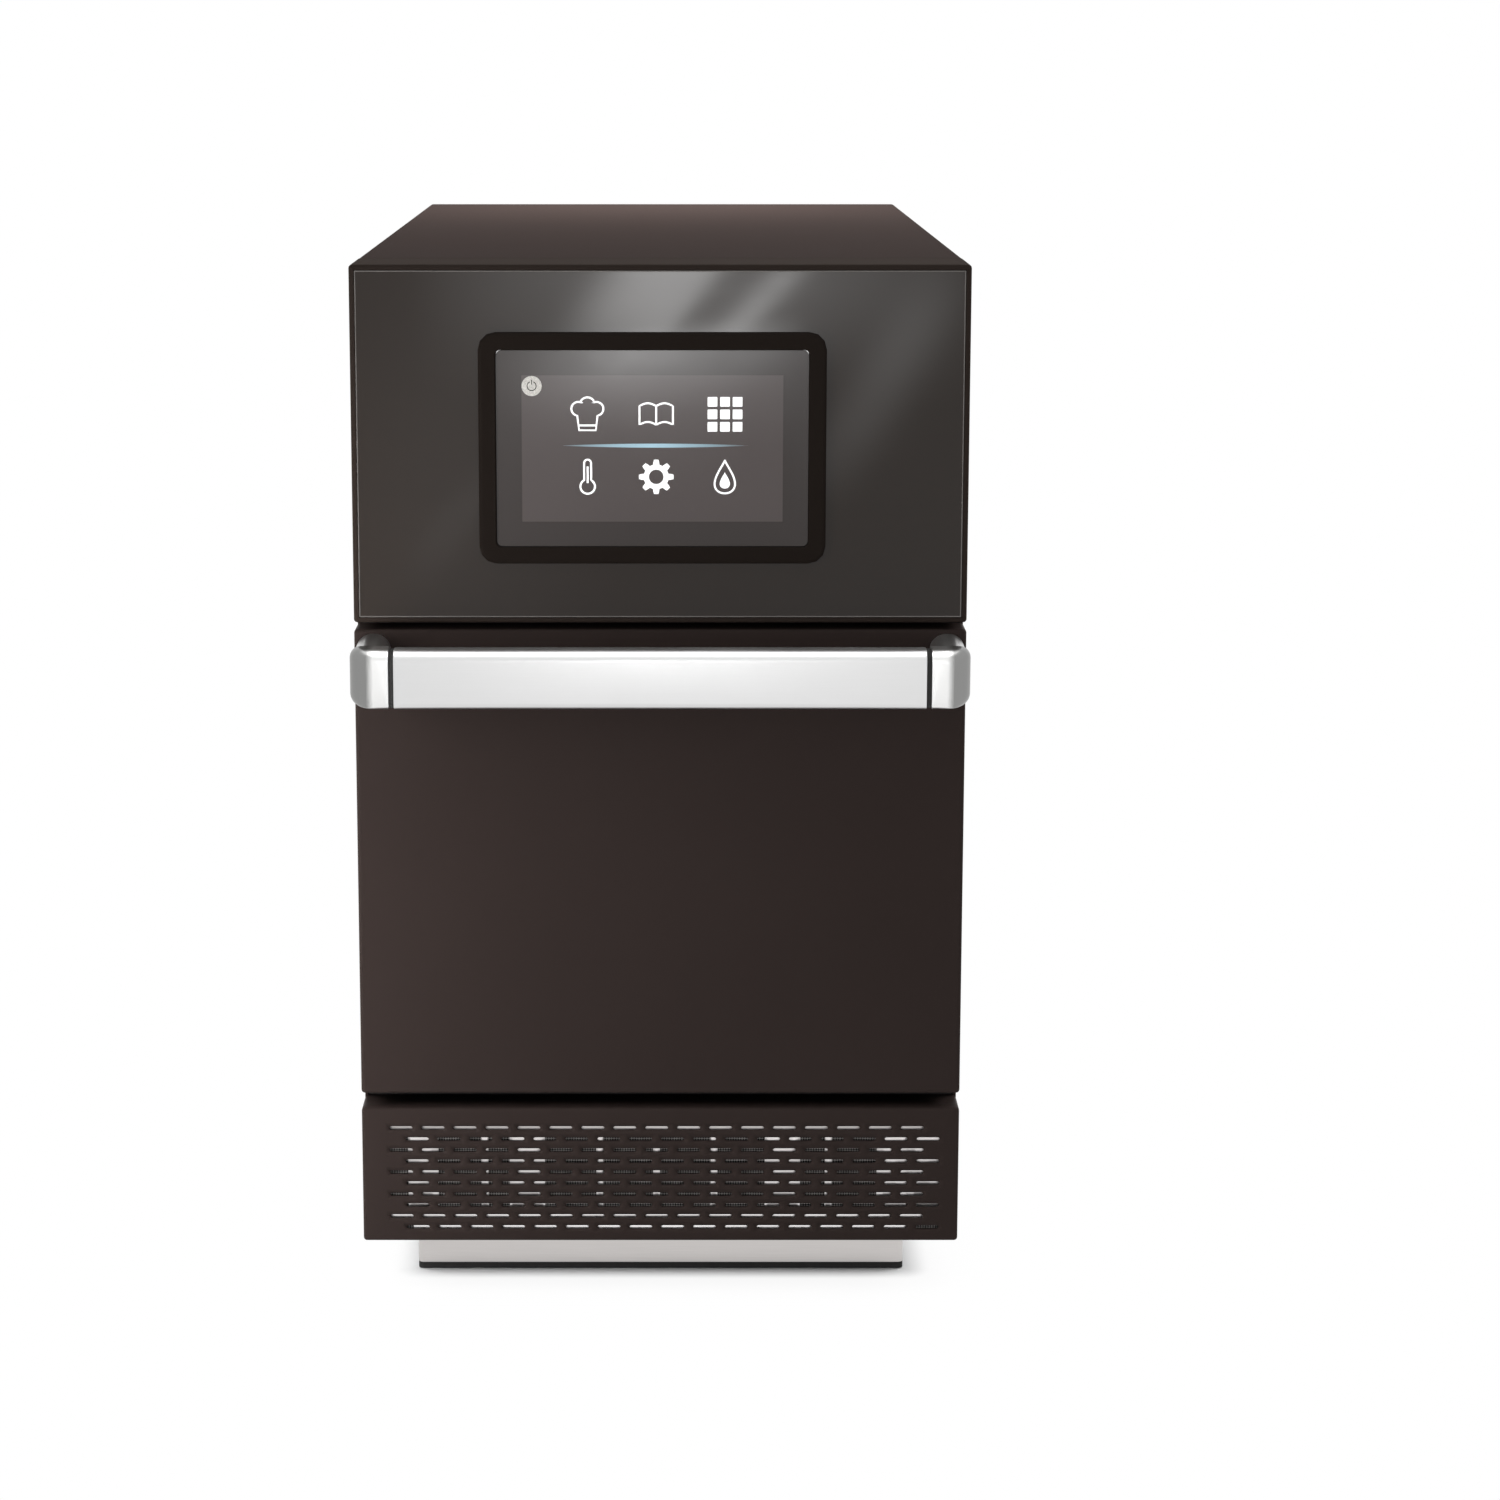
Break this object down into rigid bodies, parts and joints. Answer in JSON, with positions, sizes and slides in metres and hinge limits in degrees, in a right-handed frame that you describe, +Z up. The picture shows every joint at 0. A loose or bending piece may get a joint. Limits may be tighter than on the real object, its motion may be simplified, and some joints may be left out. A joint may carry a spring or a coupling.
{
  "type": "speed oven",
  "caption": "Tall narrow countertop speed oven with a drop-down door, bar handle, glass front with a touch screen, slotted intake cover and set-back plinth.",
  "frame": {"origin": "on the floor, in the middle of the whole object's plan, handle and gland included", "axes": "-Y is the front, +X the oven's right as seen from the front, +Z up"},
  "size_m": [0.356, 0.718, 0.62],
  "materials": {
    "brown_coating": "fine satin coating",
    "dark_frame": "satin",
    "dark_glass": "polished",
    "matt_bezel": "matt",
    "screen_glass": "polished",
    "pale_aluminium": "fine satin",
    "brushed_casting": "brushed",
    "stainless_steel": "brushed",
    "dark_steel": "satin",
    "galvanised_steel": "dull zinc",
    "light_alloy": "as cast",
    "plated_steel": "zinc plated",
    "black_rubber": "matt",
    "black_plastic": "matt",
    "dark_plate": "non-stick coating",
    "pale_ceramic": "glazed",
    "heater_sheath": "heat-tinted",
    "mineral_wool": "fibrous",
    "circuit_board": "satin",
    "grey_plastic": "satin"
  },
  "bodies": {
    "casing": {"side_panel_left": "brown_coating", "side_panel_right": "brown_coating", "top_cover": "brown_coating", "rear_panel": "brown_coating", "fascia_housing": "dark_frame", "fascia_glass": "dark_glass", "screen_bezel": "matt_bezel", "touch_screen": "screen_glass", "plinth": "stainless_steel", "foot_trim": "black_rubber", "base_pan": "galvanised_steel", "front_frame": "dark_steel", "cable_gland": "black_plastic", "cavity_liner": "stainless_steel", "plate_rack": "stainless_steel", "ceramic_floor": "pale_ceramic", "upper_jet_plate": "stainless_steel", "air_duct": "galvanised_steel", "insulation_wrap": "mineral_wool", "cavity_support": "galvanised_steel", "fan_grille": "stainless_steel", "catalyst": "light_alloy", "fan_housing": "galvanised_steel", "heater_element": "heater_sheath", "convection_motor": "light_alloy", "stirrer_well": "stainless_steel", "waveguide": "light_alloy", "magnetron": "light_alloy", "stirrer_motor": "grey_plastic", "cooling_fan_frame": "black_plastic", "electronics_shelf": "galvanised_steel", "power_board": "circuit_board", "inverter": "light_alloy", "display_module": "grey_plastic", "control_board": "circuit_board", "hinge_bracket_left": "galvanised_steel", "hinge_bracket_right": "galvanised_steel", "interlock_switch_left": "black_plastic", "interlock_switch_right": "black_plastic"},
    "door": {"door_skin": "brown_coating", "door_inner_plate": "stainless_steel", "door_seal": "black_rubber", "hinge_plate_left": "galvanised_steel", "hinge_plate_right": "galvanised_steel", "interlock_hook_left": "plated_steel", "interlock_hook_right": "plated_steel", "handle_bar": "pale_aluminium", "handle_end_left": "brushed_casting", "handle_end_right": "brushed_casting", "handle_spacer_left": "black_rubber", "handle_spacer_right": "black_rubber", "handle_screw_left": "plated_steel", "handle_screw_right": "plated_steel"},
    "cook_plate": {"cook_plate": "dark_plate"},
    "vent_cover": {"vent_cover": "brown_coating", "air_filter": "stainless_steel"},
    "convection_fan": {"convection_fan": "stainless_steel", "convection_shaft": "plated_steel"},
    "cooling_fan": {"cooling_fan_rotor": "black_plastic"},
    "stirrer": {"stirrer_blade": "light_alloy"}
  },
  "joints": [
    {"name": "door_hinge", "type": "hinge", "parent": "casing", "child": "door", "pos_m": [0, -0.306, 0.134], "axis": [1, 0, 0], "range_deg": [0, 90]},
    {"name": "cook_plate_lift", "type": "slide", "parent": "casing", "child": "cook_plate", "axis": [0, 0, 1], "range_m": [0, 0.05]},
    {"name": "vent_cover_pull", "type": "slide", "parent": "casing", "child": "vent_cover", "axis": [0, -1, 0], "range_m": [0, 0.06]},
    {"name": "convection_fan_spin", "type": "hinge", "parent": "casing", "child": "convection_fan", "pos_m": [0, 0.06, 0.2645], "axis": [0, 1, 0], "continuous": true},
    {"name": "cooling_fan_spin", "type": "hinge", "parent": "casing", "child": "cooling_fan", "pos_m": [0, -0.22, 0.0843], "axis": [0, 1, 0], "continuous": true},
    {"name": "stirrer_spin", "type": "hinge", "parent": "casing", "child": "stirrer", "pos_m": [0, -0.124, 0.15], "axis": [0, 0, 1], "continuous": true}
  ]
}
